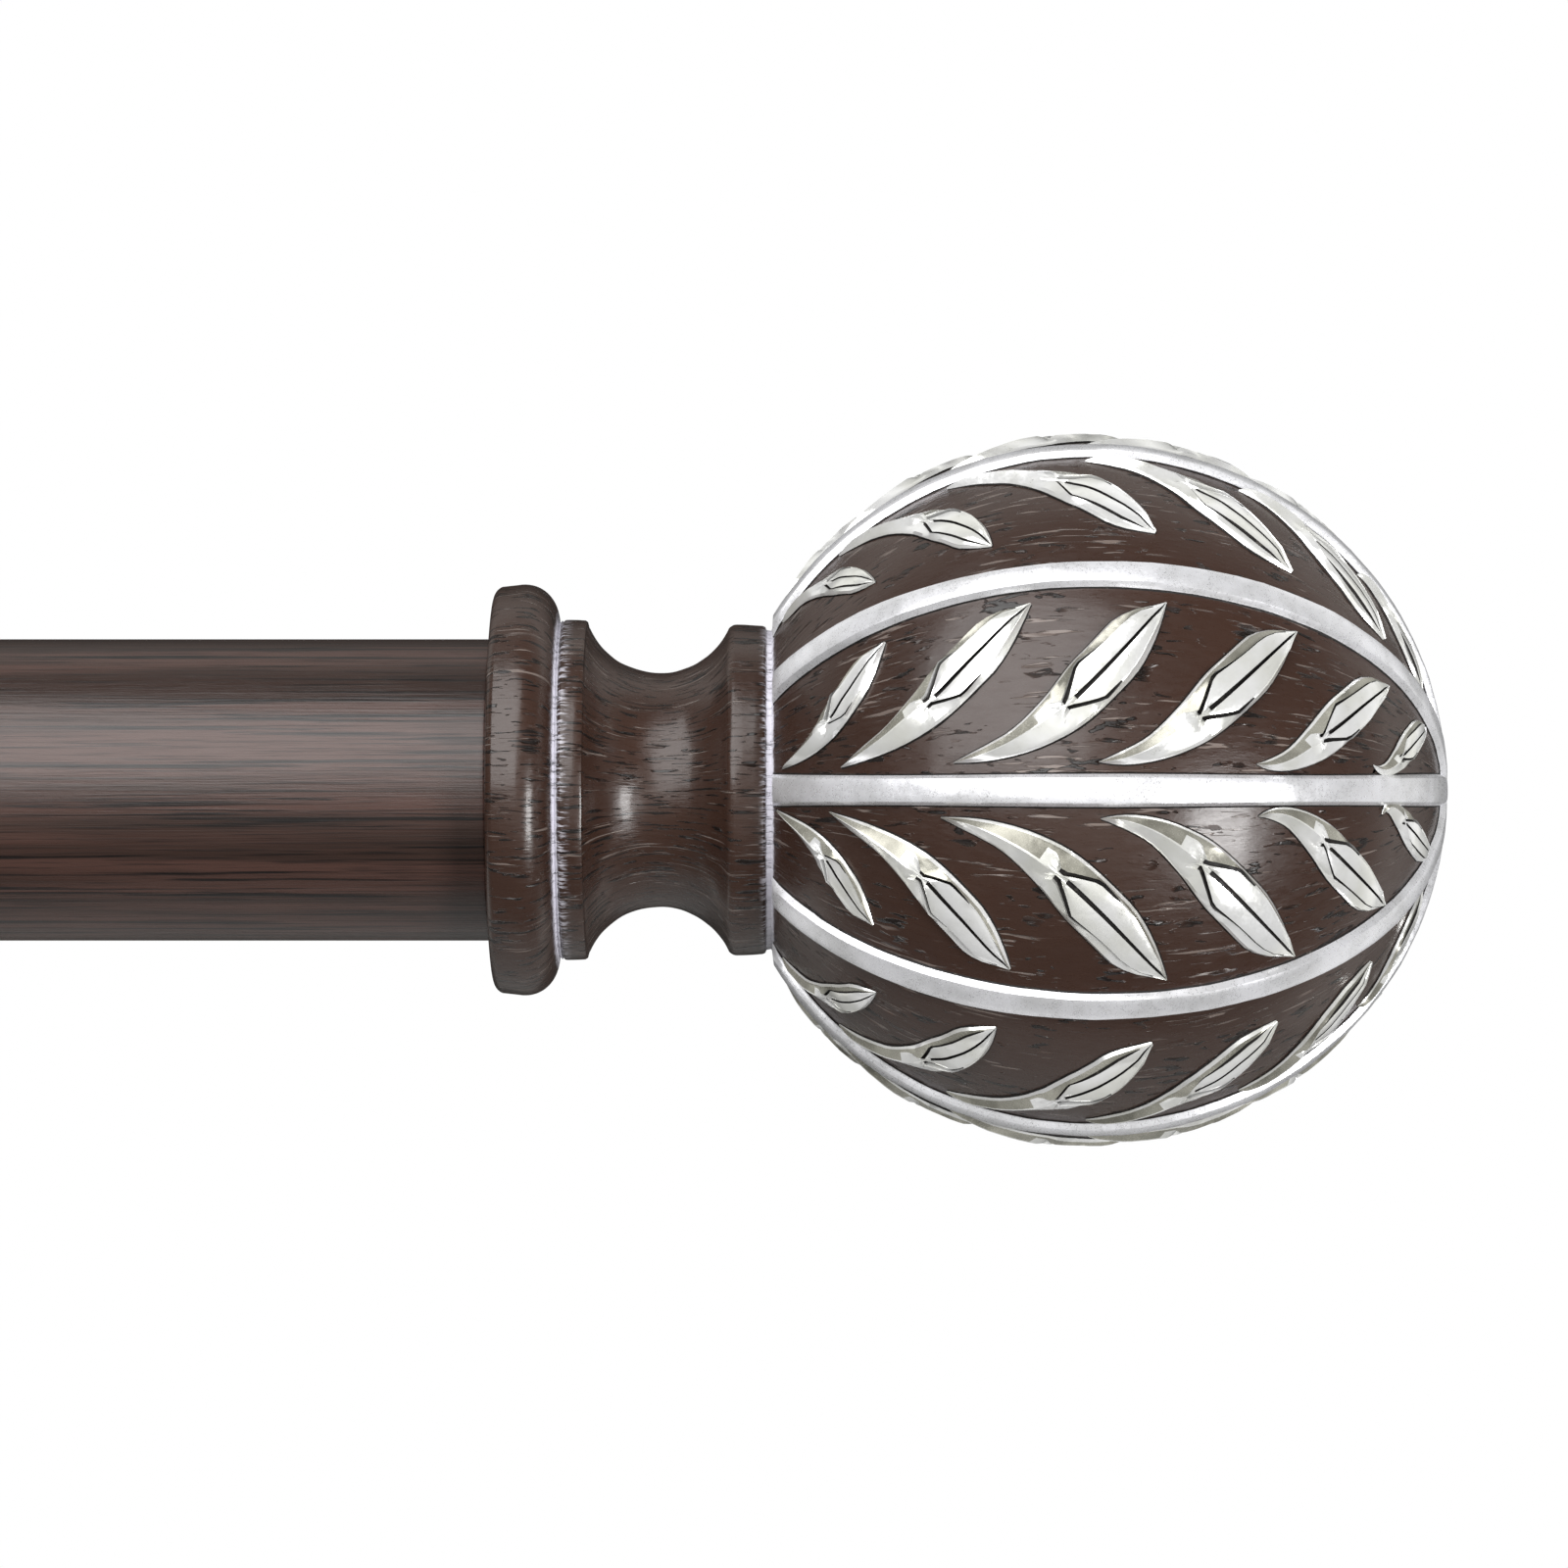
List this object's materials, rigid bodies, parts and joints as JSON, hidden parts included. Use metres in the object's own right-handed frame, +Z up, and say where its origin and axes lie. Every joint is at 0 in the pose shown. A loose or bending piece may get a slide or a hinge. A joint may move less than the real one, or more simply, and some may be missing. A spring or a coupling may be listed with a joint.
{
  "type": "curtain rod",
  "caption": "Telescoping curtain pole with carved leaf ball finials, carried in open-topped cradles on two round wall brackets whose arms slide out and lock.",
  "frame": {"origin": "centre of the right-hand bracket's wall plate, on the wall", "axes": "+X along the pole towards its right-hand finial, +Y into the wall, +Z up"},
  "size_m": [0.9504, 0.1335, 0.0874],
  "materials": {
    "pole_film": "satin walnut-grain film over steel tube",
    "finial_resin": "semi-gloss brown cast resin with silver leaf relief",
    "bracket_paint": "satin brown paint on die casting",
    "screw_bronze": "dark bronze plating, fluted",
    "black_steel": "black oxide",
    "zinc_steel": "bright zinc plate",
    "brown_plastic": "matt moulded",
    "nylon": "natural nylon"
  },
  "bodies": {
    "right_base": {"right_wall_plate": "zinc_steel", "right_bracket_base": "bracket_paint"},
    "outer_pole": {"right_bracket_arm": "bracket_paint", "right_cradle": "bracket_paint", "outer_tube": "pole_film", "mouth_liner": "brown_plastic", "right_end_plug": "nylon"},
    "inner_pole": {"inner_tube": "pole_film", "glide_bush": "nylon", "left_end_plug": "nylon", "left_bracket_arm": "bracket_paint", "left_cradle": "bracket_paint"},
    "left_base": {"left_wall_plate": "zinc_steel", "left_bracket_base": "bracket_paint"},
    "right_finial_unit": {"right_finial": "finial_resin", "right_finial_stud": "zinc_steel"},
    "left_finial_unit": {"left_finial": "finial_resin", "left_finial_stud": "zinc_steel"},
    "right_cradle_screw": {"right_cradle_thumbscrew": "screw_bronze"},
    "left_cradle_screw": {"left_cradle_thumbscrew": "screw_bronze"},
    "right_arm_screw": {"right_arm_thumbscrew": "screw_bronze"},
    "left_arm_screw": {"left_arm_thumbscrew": "screw_bronze"},
    "right_grub_screw": {"right_base_grub_screw": "black_steel"},
    "left_grub_screw": {"left_base_grub_screw": "black_steel"}
  },
  "joints": [
    {"name": "right_arm_slide", "type": "slide", "parent": "right_base", "child": "outer_pole", "axis": [0, -1, 0], "range_m": [0, 0.03175]},
    {"name": "telescope_slide", "type": "slide", "parent": "outer_pole", "child": "inner_pole", "axis": [-1, 0, 0], "range_m": [0, 0.508]},
    {"name": "left_arm_slide", "type": "slide", "parent": "inner_pole", "child": "left_base", "axis": [0, 1, 0], "range_m": [0, 0.03175]},
    {"name": "right_finial_unscrew", "type": "slide", "parent": "outer_pole", "child": "right_finial_unit", "axis": [1, 0, 0], "range_m": [0, 0.022]},
    {"name": "left_finial_unscrew", "type": "slide", "parent": "inner_pole", "child": "left_finial_unit", "axis": [-1, 0, 0], "range_m": [0, 0.022]},
    {"name": "right_cradle_screw_turn", "type": "slide", "parent": "outer_pole", "child": "right_cradle_screw", "axis": [0, -1, 0], "range_m": [0, 0.008]},
    {"name": "left_cradle_screw_turn", "type": "slide", "parent": "inner_pole", "child": "left_cradle_screw", "axis": [0, -1, 0], "range_m": [0, 0.008]},
    {"name": "right_arm_screw_turn", "type": "slide", "parent": "right_base", "child": "right_arm_screw", "axis": [0, 0, -1], "range_m": [0, 0.006]},
    {"name": "left_arm_screw_turn", "type": "slide", "parent": "left_base", "child": "left_arm_screw", "axis": [0, 0, -1], "range_m": [0, 0.006]},
    {"name": "right_grub_screw_turn", "type": "slide", "parent": "right_base", "child": "right_grub_screw", "axis": [0, 0, -1], "range_m": [0, 0.003]},
    {"name": "left_grub_screw_turn", "type": "slide", "parent": "left_base", "child": "left_grub_screw", "axis": [0, 0, -1], "range_m": [0, 0.003]}
  ],
  "couplings": [
    {"joint": "left_arm_slide", "follows": "right_arm_slide", "ratio": 1}
  ]
}
